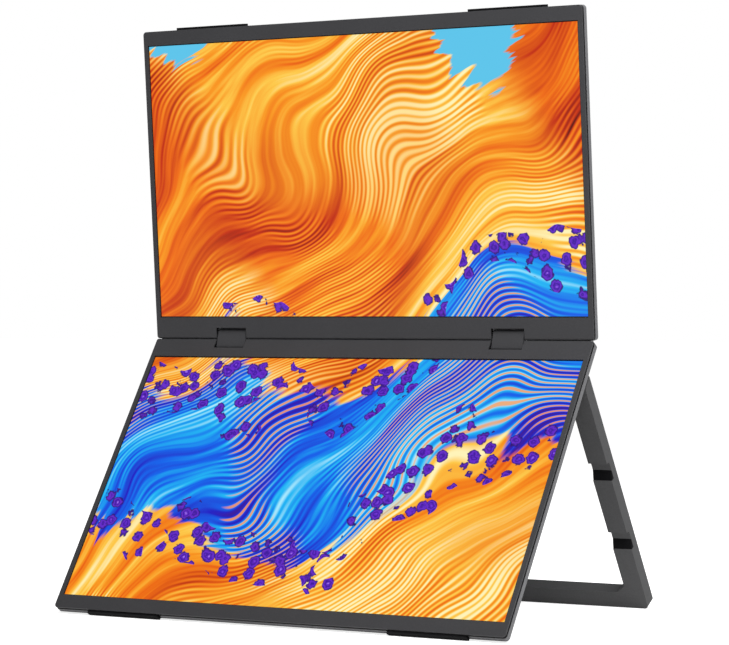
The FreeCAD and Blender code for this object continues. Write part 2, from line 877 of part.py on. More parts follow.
def bracket_screws():
    """The screws of both brackets, with their heads sunk flush."""
    screws = []
    for side in (-1, 1):
        for x, z in bracket_screw_places():
            top = panel_t + bracket_t
            shank = post(side * x, z, shell_inner, top - screw_head_t, screw_r)
            head = post(side * x, z, top - screw_head_t, top, screw_head_r)
            screws.append(head.fuse(shank).removeSplitter())
    return group(screws)


# Places of the bodies

def turned(point, turn):
    """A point (y, z) turned about X so that its top leans back."""
    y, z = point
    return (y * math.cos(turn) + z * math.sin(turn), -y * math.sin(turn) + z * math.cos(turn))


def moved(point, offset):
    """A point (y, z) with an offset added."""
    return (point[0] + offset[0], point[1] + offset[1])


lower_axle = turned((0, -axle_pitch / 2), block_turn)
upper_axle = turned((0, axle_pitch / 2), block_turn)
upper_shift = moved(upper_axle, turned((-axle_depth, -axle_setback), upper_turn))
lower_shift = moved(lower_axle, turned((-axle_depth, axle_setback), lower_turn))
pivot = moved(lower_shift, turned((pivot_depth, -stand_pivot), lower_turn))

# The floor cuts a small flat on the rear lower edge of the lower panel's strips.
foot_corner = moved(lower_shift, turned((panel_t / 2 + foot_w / 2, -panel_h - foot_proud), lower_turn))
floor_z = foot_corner[1] + foot_flat

# The legs are as long as it takes for the rail's strips to reach that floor, with their own small flat.
strip_front = -leg_t / 2 + strip_setback
strip_rise = turned((strip_front, 0), stand_turn)[1]
strip_drop = (pivot[1] - floor_z + strip_flat + strip_rise) / math.cos(stand_turn)
leg_length = strip_drop - strip_t


def put(shape, offset, turn):
    """A shape leaned about the X axis and then shifted to its place."""
    placed = shape.copy()
    placed.rotate(Vector(0, 0, 0), x_axis, -math.degrees(turn))
    placed.translate(Vector(0, offset[0], offset[1]))
    return placed


def turned_over(shape):
    """The same piece with its hinge edge at the top, for the lower panel."""
    return shape.mirror(Vector(0, 0, 0), Vector(0, 0, 1))


def panel_pieces():
    """Every piece that both panels have."""
    bores = []
    for x, z in bracket_screw_places():
        bores.append(post(x, z, shell_inner - over, panel_t + over, screw_r))
        bores.append(post(-x, z, shell_inner - over, panel_t + over, screw_r))
    shell = back_shell()
    return {
        "front_bezel": front_bezel(),
        "mid_frame": mid_frame(),
        "lcd_glass": lcd_glass(),
        "backlight_unit": backlight_unit(),
        "back_shell": shell,
        "drilled_shell": shell.cut(bores),
        "controller_board": controller_board(),
        "tact_switches": tact_switches(),
        "usb_sockets": group([data_socket(data_first), data_socket(data_first + data_pitch)]),
        "hdmi_socket": video_socket(),
        "timing_board": timing_board(),
        "ribbon_cable": ribbon_cable(),
        "speakers": speakers(),
        "hinge_leaves": group(both_hinges(hinge_leaf)),
        "hinge_axles": group(both_hinges(hinge_axle)),
        "leaf_screws": leaf_screws(),
        "power_button": power_button(),
        "menu_rocker": menu_rocker(),
        "edge_feet": group([edge_foot(-foot_x), edge_foot(foot_x)]),
    }


def build():
    """All pieces by node name, in their places about the hinge."""
    nodes = {}
    below_floor = box(-reach, reach, -2 * reach, 2 * reach, floor_z - reach, floor_z)
    for name, shape in panel_pieces().items():
        if name == "drilled_shell":
            nodes["lower_back_shell"] = put(turned_over(shape), lower_shift, lower_turn)
            continue
        nodes["upper_" + name] = put(shape, upper_shift, upper_turn)
        if name != "back_shell":
            nodes["lower_" + name] = put(turned_over(shape), lower_shift, lower_turn)
    nodes["lower_edge_feet"] = nodes["lower_edge_feet"].cut(below_floor)
    for label, x in (("left", -hinge_x), ("right", hinge_x)):
        nodes["hinge_%s_front_cover" % label] = put(block_cover(x, True), (0, 0), block_turn)
        nodes["hinge_%s_rear_cover" % label] = put(block_cover(x, False), (0, 0), block_turn)
        nodes["hinge_%s_clips" % label] = put(friction_clips(x), (0, 0), block_turn)
    for label, side in (("left", -1), ("right", 1)):
        nodes["stand_leg_" + label] = put(stand_leg(side, leg_length), pivot, stand_turn)
        nodes["stand_bracket_" + label] = put(turned_over(stand_bracket(side)), lower_shift, lower_turn)
    nodes["stand_rail"] = put(stand_rail(leg_length), pivot, stand_turn)
    pads = [notch_pad(0), notch_pad(1)]
    pads += [pad.mirror(Vector(0, 0, 0), x_axis) for pad in pads]
    strips = group([rail_strip(-strip_x, leg_length), rail_strip(strip_x, leg_length)] + pads)
    nodes["stand_strips"] = put(strips, pivot, stand_turn).cut(below_floor)
    nodes["stand_pins"] = put(group([pivot_pin(-1), pivot_pin(1)]), pivot, stand_turn)
    nodes["stand_washers"] = put(group([pivot_washer(-1), pivot_washer(1)]), pivot, stand_turn)
    nodes["bracket_screws"] = put(turned_over(bracket_screws()), lower_shift, lower_turn)
    return nodes


def report_places(origin):
    """Print the joint places and axes in the part's frame, for the record."""
    def place(point):
        return "%.5f %.5f" % (point[0] - origin[0], point[1] - origin[1])
    print("lower_hinge", place(lower_axle))
    print("upper_hinge", place(upper_axle))
    print("stand_hinge", place(pivot))
    spots = [
        ("power", button_depth, power_place), ("rocker", button_depth, rocker_place),
        ("usb", port_depth, data_first), ("usb2", port_depth, data_first + data_pitch),
        ("hdmi", port_depth, video_place),
    ]
    panels = [("upper", upper_shift, upper_turn, 1), ("lower", lower_shift, lower_turn, -1)]
    for label, shift, turn, sign in panels:
        for spot, depth, height in spots:
            print(label + "_" + spot, place(moved(shift, turned((depth, sign * height), turn))))
        print(label + "_shift", place(shift), "lean %.4f" % math.degrees(turn))
    corner = moved(pivot, turned((strip_front, -leg_length - strip_t), stand_turn))
    print("strip_corner", place(corner), "leg_length %.4f" % leg_length)
    print("stand_lean %.4f" % math.degrees(stand_turn))
    print("foot_corner", place(foot_corner))
    print("fold_each %.4f" % math.degrees(lower_turn - block_turn), "trunnion_x %.4f" % trunnion_x)


def main():
    nodes = build()
    boxes = [shape.BoundBox for shape in nodes.values()]
    middle = (min(b.YMin for b in boxes) + max(b.YMax for b in boxes)) / 2
    os.makedirs("parts", exist_ok=True)
    for name, shape in nodes.items():
        shape.translate(Vector(0, -middle, -floor_z))
        shape.exportStep("parts/%s.step" % name)
    report_places((middle, floor_z))
    print("nodes", len(nodes), "solids", sum(len(s.Solids) for s in nodes.values()))
    bad = [name for name, s in nodes.items() if not s.isValid() or min(x.Volume for x in s.Solids) <= 0]
    print("not valid:", bad)


main()
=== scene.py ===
import json
import math

import bpy
import numpy as np
from bpy.props import FloatProperty, FloatVectorProperty, PointerProperty
from mathutils import Matrix, Vector


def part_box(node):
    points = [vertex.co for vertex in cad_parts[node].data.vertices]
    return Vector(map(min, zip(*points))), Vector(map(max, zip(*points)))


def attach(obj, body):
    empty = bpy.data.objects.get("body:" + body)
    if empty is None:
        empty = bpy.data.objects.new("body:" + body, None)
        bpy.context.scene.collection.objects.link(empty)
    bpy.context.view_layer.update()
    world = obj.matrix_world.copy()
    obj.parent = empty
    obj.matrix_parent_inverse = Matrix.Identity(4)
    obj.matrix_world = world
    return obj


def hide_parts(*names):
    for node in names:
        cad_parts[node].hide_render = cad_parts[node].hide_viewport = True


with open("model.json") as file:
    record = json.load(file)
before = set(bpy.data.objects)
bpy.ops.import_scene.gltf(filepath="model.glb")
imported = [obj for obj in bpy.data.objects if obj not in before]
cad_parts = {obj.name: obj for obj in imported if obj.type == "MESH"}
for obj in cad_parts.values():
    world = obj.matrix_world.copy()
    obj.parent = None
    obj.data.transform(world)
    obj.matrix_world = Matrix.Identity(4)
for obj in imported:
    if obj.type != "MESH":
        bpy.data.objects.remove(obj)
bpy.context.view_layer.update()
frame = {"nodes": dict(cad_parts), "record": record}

# Looks for two portable displays on a folding hinge, with a swing-out stand behind the lower one.
# Everything is in metres, in the same frame as the solids: X to the viewer's right, Y to the back, Z up.

bl_info = {
    "name": "Folding double display",
    "version": (1, 0, 0),
    "blender": (4, 5, 0),
    "location": "View3D > Sidebar > Display",
    "description": "Materials, lit screens, screw heads and a studio for a folding double display",
    "category": "Object",
}

MM = 0.001
# The camera's sensor width, in millimetres, that the lens is given for.
SENSOR_WIDTH = 36.0
# How far the camera sees, in metres: past the floor's far corner.
SIGHT = 50.0
# The soft clouds of grey in a moulding, from uneven cooling.
CLOUD_WIDTH = 40 * MM


def linear(code):
    """The linear colour, with alpha, of an sRGB hex code such as 3a3a3c."""
    srgb = np.array([int(code[i:i + 2], 16) for i in (0, 2, 4)]) / 255
    value = np.where(srgb <= 0.04045, srgb / 12.92, ((srgb + 0.055) / 1.055) ** 2.4)
    return (*value.tolist(), 1.0)


def add_node(tree, kind, links=None, **settings):
    """Adds a shader node. A link's key is an input's name or number, its value a socket or a constant."""
    node = tree.nodes.new("ShaderNode" + kind)
    for name, value in settings.items():
        setattr(node, name, value)
    for key, value in (links or {}).items():
        if isinstance(value, bpy.types.NodeSocket):
            tree.links.new(value, node.inputs[key])
        else:
            node.inputs[key].default_value = value
    return node


def new_material(name):
    """An empty node material and its tree."""
    material = bpy.data.materials.new(name)
    material.use_nodes = True
    material.node_tree.nodes.clear()
    return material, material.node_tree


def finish_surface(tree, shader):
    """Ends a tree in its output."""
    add_node(tree, "OutputMaterial", {"Surface": shader.outputs[0]})


def set_ramp(node, stops):
    """Gives a colour ramp its (place, colour) stops."""
    ramp = node.color_ramp
    while len(ramp.elements) > 1:
        ramp.elements.remove(ramp.elements[-1])
    ramp.elements[0].position, ramp.elements[0].color = stops[0]
    for place, shade in stops[1:]:
        ramp.elements.new(place).color = shade
    return node


def paint_slot(slot, material):
    """Gives a finish to every solid of one of the record's material slots."""
    for part in frame["record"]["subparts"]:
        if part["material_slot"] == slot:
            solid = frame["nodes"][part["node"]]
            solid.data.materials.clear()
            solid.data.materials.append(material)


# Finishes

def moulded_plastic(name, light, dark, grain, roughness, depth, sheen=0.2):
    """Plastic from a spark-eroded mould, such as PC-ABS: two close greys in soft clouds, pits grain wide
    and depth deep, and a wide, dull gloss. sheen is the specular level, low because the grain is matt."""
    material, tree = new_material(name)
    place = add_node(tree, "TexCoord").outputs["Object"]
    clouds = add_node(tree, "TexNoise", {"Vector": place, "Scale": 1 / CLOUD_WIDTH, "Detail": 3.0})
    pits = add_node(
        tree, "TexNoise", {"Vector": place, "Scale": 1 / grain, "Detail": 2.0, "Roughness": 0.6},
    )
    colour = add_node(
        tree, "Mix", {0: clouds.outputs["Fac"], 6: dark, 7: light}, data_type="RGBA",
    )
    speckle = add_node(
        tree, "MapRange",
        {"Value": pits.outputs["Fac"], "From Min": 0.3, "From Max": 0.7, "To Min": 0.9, "To Max": 1.1},
    )
    fine = add_node(
        tree, "Mix", {0: 1.0, 6: colour.outputs[2], 7: speckle.outputs[0]},
        data_type="RGBA", blend_type="MULTIPLY",
    )
    dull = add_node(
        tree, "MapRange",
        {"Value": pits.outputs["Fac"], "To Min": roughness - 0.06, "To Max": roughness + 0.06},
    )
    bump = add_node(tree, "Bump", {"Height": pits.outputs["Fac"], "Strength": 0.35, "Distance": depth})
    shader = add_node(
        tree, "BsdfPrincipled",
        {
            "Base Color": fine.outputs[2], "Roughness": dull.outputs[0], "Normal": bump.outputs[0],
            "IOR": 1.53, "Specular IOR Level": sheen,
        },
    )
    finish_surface(tree, shader)
    return material


def anti_glare_glass(name):
    """Etched display glass over a dark cell: nearly black, with a soft, blurred sheen. The etch is finer
    than a picture can show, and is drawn half a millimetre wide."""
    material, tree = new_material(name)
    place = add_node(tree, "TexCoord").outputs["Object"]
    etch_width = 0.5 * MM
    etch = add_node(tree, "TexNoise", {"Vector": place, "Scale": 1 / etch_width, "Detail": 1.0})
    dull = add_node(
        tree, "MapRange", {"Value": etch.outputs["Fac"], "To Min": 0.22, "To Max": 0.3},
    )
    shader = add_node(
        tree, "BsdfPrincipled",
        {
            "Base Color": linear("050506"), "Roughness": dull.outputs[0], "IOR": 1.5,
            "Specular IOR Level": 0.2,
        },
    )
    finish_surface(tree, shader)
    return material


def drawn_metal(name, code, roughness, streak, run):
    """Metal that was rolled or drawn along X: faint long streaks streak apart and run long."""
    material, tree = new_material(name)
    place = add_node(tree, "TexCoord").outputs["Object"]
    scaled = add_node(
        tree, "Mapping", {"Vector": place, "Scale": (1 / run, 1 / streak, 1 / streak)},
    )
    streaks = add_node(tree, "TexNoise", {"Vector": scaled.outputs[0], "Scale": 1.0, "Detail": 3.0})
    shade = add_node(
        tree, "MapRange", {"Value": streaks.outputs["Fac"], "To Min": 0.82, "To Max": 1.12},
    )
    colour = add_node(
        tree, "Mix", {0: 1.0, 6: linear(code), 7: shade.outputs[0]},
        data_type="RGBA", blend_type="MULTIPLY",
    )
    dull = add_node(
        tree, "MapRange",
        {"Value": streaks.outputs["Fac"], "To Min": roughness - 0.08, "To Max": roughness + 0.08},
    )
    shader = add_node(
        tree, "BsdfPrincipled",
        {"Base Color": colour.outputs[2], "Metallic": 1.0, "Roughness": dull.outputs[0]},
    )
    finish_surface(tree, shader)
    return material


def solder_mask_board(name):
    """A glass-epoxy board under green solder mask: copper runs show through as paler lines and squares."""
    material, tree = new_material(name)
    place = add_node(tree, "TexCoord").outputs["Object"]
    turned = add_node(tree, "Mapping", {"Vector": place, "Rotation": (math.radians(90), 0, 0)})
    run_length = 6 * MM
    runs = add_node(
        tree, "TexBrick",
        {
            "Vector": turned.outputs[0], "Color1": linear("0f4a26"), "Color2": linear("12562c"),
            "Mortar": linear("2c8a4c"), "Scale": 1 / run_length, "Mortar Size": 0.05, "Brick Width": 0.9,
            "Row Height": 0.22,
        },
    )
    shader = add_node(
        tree, "BsdfPrincipled",
        {"Base Color": runs.outputs["Color"], "Roughness": 0.32, "IOR": 1.5},
    )
    finish_surface(tree, shader)
    return material


def conductor_film(name):
    """Amber polyimide film with copper conductors side by side across X, about a millimetre apart."""
    material, tree = new_material(name)
    place = add_node(tree, "TexCoord").outputs["Object"]
    pitch = 1.0 * MM
    # The wave pattern has about three waves in a unit of its scale.
    lines = add_node(
        tree, "TexWave", {"Vector": place, "Scale": 1 / pitch / math.tau * 2, "Distortion": 0.0},
    )
    colour = add_node(
        tree, "Mix", {0: lines.outputs["Fac"], 6: linear("8a4c12"), 7: linear("c98a3c")},
        data_type="RGBA",
    )
    shader = add_node(
        tree, "BsdfPrincipled", {"Base Color": colour.outputs[2], "Roughness": 0.35, "IOR": 1.7},
    )
    finish_surface(tree, shader)
    return material


def soft_rubber(name):
    """Thermoplastic rubber: near black, very dull, with the faint mottling of a blasted mould."""
    material, tree = new_material(name)
    place = add_node(tree, "TexCoord").outputs["Object"]
    mottle_width, mottle_depth = 1.2 * MM, 0.05 * MM
    mottle = add_node(tree, "TexNoise", {"Vector": place, "Scale": 1 / mottle_width, "Detail": 2.0})
    colour = add_node(
        tree, "Mix", {0: mottle.outputs["Fac"], 6: linear("060607"), 7: linear("0e0e10")},
        data_type="RGBA",
    )
    bump = add_node(
        tree, "Bump", {"Height": mottle.outputs["Fac"], "Strength": 0.4, "Distance": mottle_depth},
    )
    shader = add_node(
        tree, "BsdfPrincipled",
        {
            "Base Color": colour.outputs[2], "Roughness": 0.9, "IOR": 1.5, "Specular IOR Level": 0.12,
            "Normal": bump.outputs[0],
        },
    )
    finish_surface(tree, shader)
    return material


def lit_picture(name, look):
    """The lit picture, in widths of itself: silk-like streams that a slow noise bends, read across their
    run for colour and along it for streaks, deep in some folds and pale in others, a blue stream through
    the lower half with gold threads on it, clumps of round blossoms along its banks, and sky in two
    corners."""
    material, tree = new_material(name)
    uv = add_node(tree, "UVMap", uv_map="picture").outputs[0]
    # How far the streams are bent, and how many threads and blossoms fit in the picture's width.
    bend_reach, threads, blossoms = 0.62, 88, 33.0
    # The water's line: how fast it waves, how high, and how far below the upper picture its middle lies.
    wave_turn, wave_height, water_depth = 4.4, 0.11, 0.17
    # Half the water's width, where the blossoms keep to its bank.
    half_water = 0.16

    # A slow noise shifts every point, so that straight bands become streams.
    slow = add_node(tree, "TexNoise", {"Vector": uv, "Scale": 2.1, "Detail": 1.5, "Roughness": 0.45})
    centred = add_node(
        tree, "VectorMath", {0: slow.outputs["Color"], 1: (0.5, 0.5, 0.5)}, operation="SUBTRACT",
    )
    shift = add_node(tree, "VectorMath", {0: centred.outputs[0], "Scale": bend_reach}, operation="SCALE")
    bent = add_node(tree, "VectorMath", {0: uv, 1: shift.outputs[0]}, operation="ADD").outputs[0]

    # Across and along the streams.
    across = add_node(tree, "VectorMath", {0: bent, 1: (-0.62, 0.78, 0)}, operation="DOT_PRODUCT")
    along = add_node(tree, "VectorMath", {0: bent, 1: (0.78, 0.62, 0)}, operation="DOT_PRODUCT")
    across, along = across.outputs["Value"], along.outputs["Value"]
    stream = add_node(tree, "CombineXYZ", {0: across, 1: along}).outputs[0]
    coarse = add_node(tree, "Mapping", {"Vector": stream, "Scale": (9.0, 1.1, 1.0)})
    fine = add_node(tree, "Mapping", {"Vector": stream, "Scale": (46.0, 2.6, 1.0)})
    folds = add_node(tree, "TexNoise", {"Vector": coarse.outputs[0], "Scale": 1.0, "Detail": 2.0})
    streaks = add_node(tree, "TexNoise", {"Vector": fine.outputs[0], "Scale": 1.0, "Detail": 3.0})
    silk = add_node(
        tree, "Mix", {0: 0.36, 2: folds.outputs["Fac"], 3: streaks.outputs["Fac"]}, data_type="FLOAT",
    ).outputs[0]

    # Threads about four millimetres apart, strong only where a second noise is high.
    count = add_node(tree, "Math", {0: across, 1: math.tau * threads}, operation="MULTIPLY")
    thread = add_node(tree, "Math", {0: count.outputs[0]}, operation="SINE").outputs[0]
    patches = add_node(tree, "TexNoise", {"Vector": bent, "Scale": 3.4, "Detail": 1.0})
    strength = add_node(
        tree, "MapRange",
        {
            "Value": patches.outputs["Fac"], "From Min": 0.44, "From Max": 0.56,
            "To Min": 0.008, "To Max": 0.085,
        },
    )
    relief = add_node(tree, "Math", {0: thread, 1: strength.outputs[0]}, operation="MULTIPLY")
    tone = add_node(tree, "Math", {0: silk, 1: relief.outputs[0]}, operation="ADD").outputs[0]

    # Warm streams: one ramp for folds in shade and one for folds in light, shared out by a slow noise.
    deep = set_ramp(add_node(tree, "ValToRGB", {"Fac": tone}), [
        (0.3, look.shadow), (0.41, look.red), (0.5, look.orange), (0.58, look.amber), (0.68, look.gold),
    ])
    pale = set_ramp(add_node(tree, "ValToRGB", {"Fac": tone}), [
        (0.3, look.red), (0.39, look.orange), (0.47, look.amber), (0.54, look.gold), (0.63, look.cream),
    ])
    light = add_node(tree, "TexNoise", {"Vector": bent, "Scale": 1.7, "Detail": 0.0})
    lit = add_node(
        tree, "MapRange", {"Value": light.outputs["Fac"], "From Min": 0.4, "From Max": 0.58},
        interpolation_type="SMOOTHSTEP",
    )
    warm = add_node(
        tree, "Mix", {0: lit.outputs[0], 6: deep.outputs[0], 7: pale.outputs[0]}, data_type="RGBA",
    )
    cool = set_ramp(add_node(tree, "ValToRGB", {"Fac": tone}), [
        (0.32, look.violet), (0.4, look.ultramarine), (0.49, look.azure), (0.57, look.cyan),
        (0.68, look.ice),
    ])

    # Gold threads over the blue, on every crest of the relief where it is strong.
    crest = add_node(
        tree, "MapRange",
        {"Value": relief.outputs[0], "From Min": 0.045, "From Max": 0.07, "To Min": 0.0, "To Max": 0.8},
    )
    gilded = add_node(
        tree, "Mix", {0: crest.outputs[0], 6: cool.outputs[0], 7: look.amber}, data_type="RGBA",
    )

    # The blue stream: how far a point lies from a wavy line through the lower half.
    parts = add_node(tree, "SeparateXYZ", {0: bent})
    turn = add_node(tree, "Math", {0: parts.outputs[0], 1: wave_turn}, operation="MULTIPLY")
    wave = add_node(tree, "Math", {0: turn.outputs[0]}, operation="SINE")
    bend = add_node(
        tree, "Math", {0: wave.outputs[0], 1: wave_height, 2: water_depth}, operation="MULTIPLY_ADD",
    )
    off = add_node(tree, "Math", {0: parts.outputs[1], 1: bend.outputs[0]}, operation="ADD")
    bank = add_node(tree, "Math", {0: off.outputs[0]}, operation="ABSOLUTE").outputs[0]
    ragged = add_node(
        tree, "Math", {0: streaks.outputs["Fac"], 1: 0.14, 2: -0.07}, operation="MULTIPLY_ADD",
    )
    edge = add_node(tree, "Math", {0: bank, 1: ragged.outputs[0]}, operation="ADD").outputs[0]
    inside = add_node(
        tree, "MapRange",
        {"Value": edge, "From Min": 0.15, "From Max": 0.165, "To Min": 1.0, "To Max": 0.0},
        interpolation_type="SMOOTHSTEP",
    )
    water = add_node(
        tree, "Mix", {0: inside.outputs[0], 6: warm.outputs[2], 7: gilded.outputs[2]}, data_type="RGBA",
    )

    # Blossoms: round cells with crinkled rims, kept only in clumps near the banks of the stream.
    crinkle = add_node(tree, "TexNoise", {"Vector": uv, "Scale": 110.0, "Detail": 1.0})
    wobble = add_node(
        tree, "VectorMath", {0: crinkle.outputs["Color"], "Scale": 0.011}, operation="SCALE",
    )
    loose = add_node(tree, "VectorMath", {0: uv, 1: wobble.outputs[0]}, operation="ADD").outputs[0]
    cells = add_node(tree, "TexVoronoi", {"Vector": loose, "Scale": blossoms, "Randomness": 1.0})
    round_off = add_node(
        tree, "MapRange",
        {
            "Value": cells.outputs["Distance"], "From Min": 0.43, "From Max": 0.47,
            "To Min": 1.0, "To Max": 0.0,
        },
    )
    clumps = add_node(tree, "TexNoise", {"Vector": uv, "Scale": 5.5, "Detail": 2.0})
    near = add_node(tree, "Math", {0: bank, 1: -half_water}, operation="ADD")
    apart = add_node(tree, "Math", {0: near.outputs[0]}, operation="ABSOLUTE")
    wide = add_node(tree, "MapRange", {
        "Value": clumps.outputs["Fac"], "From Min": 0.42, "From Max": 0.62, "To Min": 0.0, "To Max": 0.1,
    })
    kept = add_node(tree, "Math", {0: apart.outputs[0], 1: wide.outputs[0]}, operation="LESS_THAN")
    blossom = add_node(tree, "Math", {0: round_off.outputs[0], 1: kept.outputs[0]}, operation="MULTIPLY")
    petals = set_ramp(add_node(tree, "ValToRGB", {"Fac": cells.outputs["Distance"]}), [
        (0.0, look.lilac), (0.09, look.mauve), (0.2, look.violet), (0.3, look.mauve), (0.44, look.night),
    ])
    flowered = add_node(
        tree, "Mix", {0: blossom.outputs[0], 6: water.outputs[2], 7: petals.outputs[0]}, data_type="RGBA",
    )

    # Sky in two far corners, behind a torn edge of the streams.
    left = add_node(tree, "VectorMath", {0: bent, 1: (0.06, 0.6, 0)}, operation="DISTANCE")
    right = add_node(tree, "VectorMath", {0: bent, 1: (0.74, 0.56, 0)}, operation="DISTANCE")
    nearest = add_node(
        tree, "Math", {0: left.outputs["Value"], 1: right.outputs["Value"]}, operation="MINIMUM",
    )
    torn = add_node(tree, "Math", {0: streaks.outputs["Fac"], 1: 0.24}, operation="MULTIPLY")
    open_air = add_node(tree, "Math", {0: nearest.outputs[0], 1: torn.outputs[0]}, operation="ADD")
    clear = add_node(
        tree, "MapRange",
        {"Value": open_air.outputs[0], "From Min": 0.245, "From Max": 0.255, "To Min": 1.0, "To Max": 0.0},
    )
    picture = add_node(
        tree, "Mix", {0: clear.outputs[0], 6: flowered.outputs[2], 7: look.sky}, data_type="RGBA",
    )
    shader = add_node(
        tree, "BsdfPrincipled",
        {
            "Base Color": linear("020203"), "Roughness": 0.35, "IOR": 1.5, "Specular IOR Level": 0.15,
            "Emission Color": picture.outputs[2], "Emission Strength": 1.0,
        },
    )
    finish_surface(tree, shader)
    return material


# Shapes

def glass_axes(node):
    """The middle of a glass's front, and unit vectors to its right, its top and its front: the directions
    in which its corners spread most, less and least."""
    corners = np.array([v.co for v in frame["nodes"][node].data.vertices], float)
    corners = np.unique(np.round(corners, 7), axis=0)
    middle = corners.mean(0)
    front, top, right = np.linalg.eigh(np.cov((corners - middle).T))[1].T
    right = right * np.sign(right[0])
    top = top * np.sign(top[2])
    front = front * -np.sign(front[1])
    half = np.abs((corners - middle) @ front).max()
    return middle + front * half, right, top, front


def sheet_mesh(name, across, up, place, uv_place):
    """A closed thin sheet: a grid of across by up cells for its front and one for its back, joined at the
    rim. place(u, v, side) gives the points, with u and v from 0 to 1, and side 1 in front and 0 behind."""
    u, v = np.meshgrid(np.linspace(0, 1, across + 1), np.linspace(0, 1, up + 1))
    count = u.size
    points = np.concatenate([place(u.ravel(), v.ravel(), 1), place(u.ravel(), v.ravel(), 0)])
    first = (np.arange(up)[:, None] * (across + 1) + np.arange(across)).ravel()
    front = np.stack([first, first + 1, first + across + 2, first + across + 1], 1)
    back = front[:, ::-1] + count
    column = np.arange(across + 1)
    row = np.arange(up + 1) * (across + 1)
    rim = np.concatenate([column, row[1:] + across, column[::-1][1:] + row[-1], row[::-1][1:-1], [0]])
    a, b = rim[:-1], rim[1:]
    side = np.stack([a, a + count, b + count, b], 1)
    faces = np.concatenate([front, back, side])
    mesh = bpy.data.meshes.new(name)
    mesh.from_pydata(points.tolist(), [], faces.tolist())
    layer = mesh.uv_layers.new(name="picture")
    uv = np.stack(uv_place(u.ravel(), v.ravel()), 1)
    uv = np.concatenate([uv, uv])[faces.ravel()]
    layer.data.foreach_set("uv", uv.ravel().astype(np.float32))
    mesh.update()
    mesh.validate()
    return mesh


def pressed_cross(x, y, look):
    """How deep a screw's cross lies at x, y: each arm is the lesser of a ramp at its end and a ramp at its
    side, both clipped to 0 and 1, and the cross is the greater of its two arms times its depth."""
    def arm(run, side):
        end = np.clip((look.cross_reach - abs(run)) / look.cross_slope, 0, 1)
        return np.minimum(end, np.clip((look.cross_half - abs(side)) / look.cross_slope, 0, 1))

    return look.cross_depth * np.maximum(arm(x, y), arm(y, x))


def screw_mesh(name, heads, length, right, top, back, look):
    """Screws with a cross in the head: a profile of radius and level turned about the screw's axis, less
    the depth of the pressed cross. Each end closes in one point. heads are the middles of their tops."""
    rings, turns = 30, 64
    face = np.linspace(0, look.head_radius - look.head_edge, rings)[1:]
    radius = np.concatenate([face, [look.head_radius] * 2, [look.shank_radius] * 2])
    level = np.concatenate([0 * face, [-look.head_edge, -look.head_height, -look.head_height, -length]])
    r, angle = np.meshgrid(radius, np.arange(turns) * math.tau / turns, indexing="ij")
    x, y = r * np.cos(angle), r * np.sin(angle)
    z = level[:, None] - pressed_cross(x, y, look)
    points = np.stack([x.ravel(), y.ravel(), z.ravel()], 1)
    points = np.concatenate([points, [[0, 0, -look.cross_depth], [0, 0, -length]]])
    one = np.arange(turns)
    two = np.roll(one, -1)
    row = np.arange(len(radius) - 1)[:, None] * turns
    quads = np.stack([row + one, row + turns + one, row + turns + two, row + two], -1).reshape(-1, 4)
    first, last = np.full(turns, len(points) - 2), np.full(turns, len(points) - 1)
    far = (len(radius) - 1) * turns
    caps = np.concatenate([np.stack([first, one, two], 1), np.stack([far + one, last, far + two], 1)])
    placed = points @ np.array([top, right, back])
    steps = np.arange(len(heads)) * len(points)
    mesh = bpy.data.meshes.new(name)
    mesh.from_pydata(
        np.concatenate([placed + head for head in heads]).tolist(), [],
        np.concatenate([quads + step for step in steps]).tolist()
        + np.concatenate([caps + step for step in steps]).tolist(),
    )
    mesh.validate()
    return mesh


def add_piece(name, mesh, body, material):
    """Puts a finished mesh in the scene on its body, with its finish."""
    piece = bpy.data.objects.new(name, mesh)
    bpy.context.scene.collection.objects.link(piece)
    piece.data.materials.append(material)
    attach(piece, body)
    return piece


# Settings

def length_setting(name, description, millimetres):
    """A length setting."""
    return FloatProperty(
        name=name, description=description, default=millimetres * MM, subtype="DISTANCE", unit="LENGTH",
    )


def colour_setting(name, description, code):
    """A colour setting, from an sRGB hex code."""
    return FloatVectorProperty(
        name=name, description=description, default=linear(code), size=4, min=0.0, max=1.0, subtype="COLOR",
    )


class PictureSettings(bpy.types.PropertyGroup):
    width: length_setting("Picture width", "Lit width of a screen", 344.2)
    height: length_setting("Picture height", "Lit height of a screen", 193.6)
    hinge_side: length_setting("Hinge side border", "Glass beyond the picture on the hinge side", 6.0)
    far_side: length_setting("Far side border", "Glass beyond the picture on the far side", 1.6)
    film_gap: length_setting("Film gap", "Air between the glass and its front film", 0.02)
    film: length_setting("Film thickness", "Thickness of the front film", 0.12)
    shadow: colour_setting("Shadow", "Deepest colour of the warm streams", "5c1003")
    red: colour_setting("Red", "Red of the warm streams", "c42e04")
    orange: colour_setting("Orange", "Orange of the warm streams", "ee6a06")
    amber: colour_setting("Amber", "Amber of the warm streams", "f9981a")
    gold: colour_setting("Gold", "Gold of the warm streams", "fdc948")
    cream: colour_setting("Cream", "Palest colour of the warm streams", "fff3b8")
    sky: colour_setting("Sky", "Plain sky in the corners", "5cc4ea")
    ice: colour_setting("Ice", "Palest colour of the blue stream", "b4f0ff")
    cyan: colour_setting("Cyan", "Cyan of the blue stream", "1cb8f4")
    azure: colour_setting("Azure", "Azure of the blue stream", "0c62ea")
    ultramarine: colour_setting("Ultramarine", "Ultramarine of the blue stream", "1c1cc4")
    violet: colour_setting("Violet", "Violet of the blossoms and of the blue stream's shadows", "3a1296")
    lilac: colour_setting("Lilac", "Highlight of the blossoms", "c49af8")
    mauve: colour_setting("Mauve", "Petals of the blossoms", "6a2cd0")
    night: colour_setting("Night", "Shade between the blossoms", "1c0a5e")


